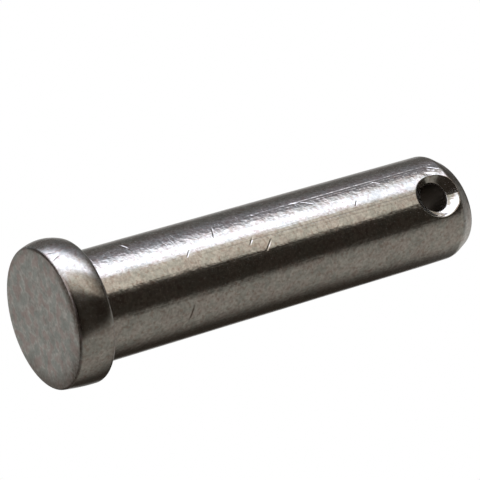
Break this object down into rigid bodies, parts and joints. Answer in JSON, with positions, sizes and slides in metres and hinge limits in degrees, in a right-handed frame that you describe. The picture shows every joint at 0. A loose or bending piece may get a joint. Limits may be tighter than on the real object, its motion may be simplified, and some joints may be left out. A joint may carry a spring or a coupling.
{
  "type": "clevis pin",
  "caption": "Headed steel clevis pin: a round shank with a flat upset head, a tapered point and a countersunk cross hole for the cotter pin that locks it in a fork.",
  "frame": {"origin": "centre of the head's flat face, on the axis of the shank", "axes": "+Z along the shank from the head to the point, +Y along the cross hole, +X square to both"},
  "size_m": [0.0124, 0.0124, 0.0414],
  "materials": {
    "steel": "satin"
  },
  "bodies": {
    "root": {"clevis_pin": "steel"}
  },
  "joints": []
}
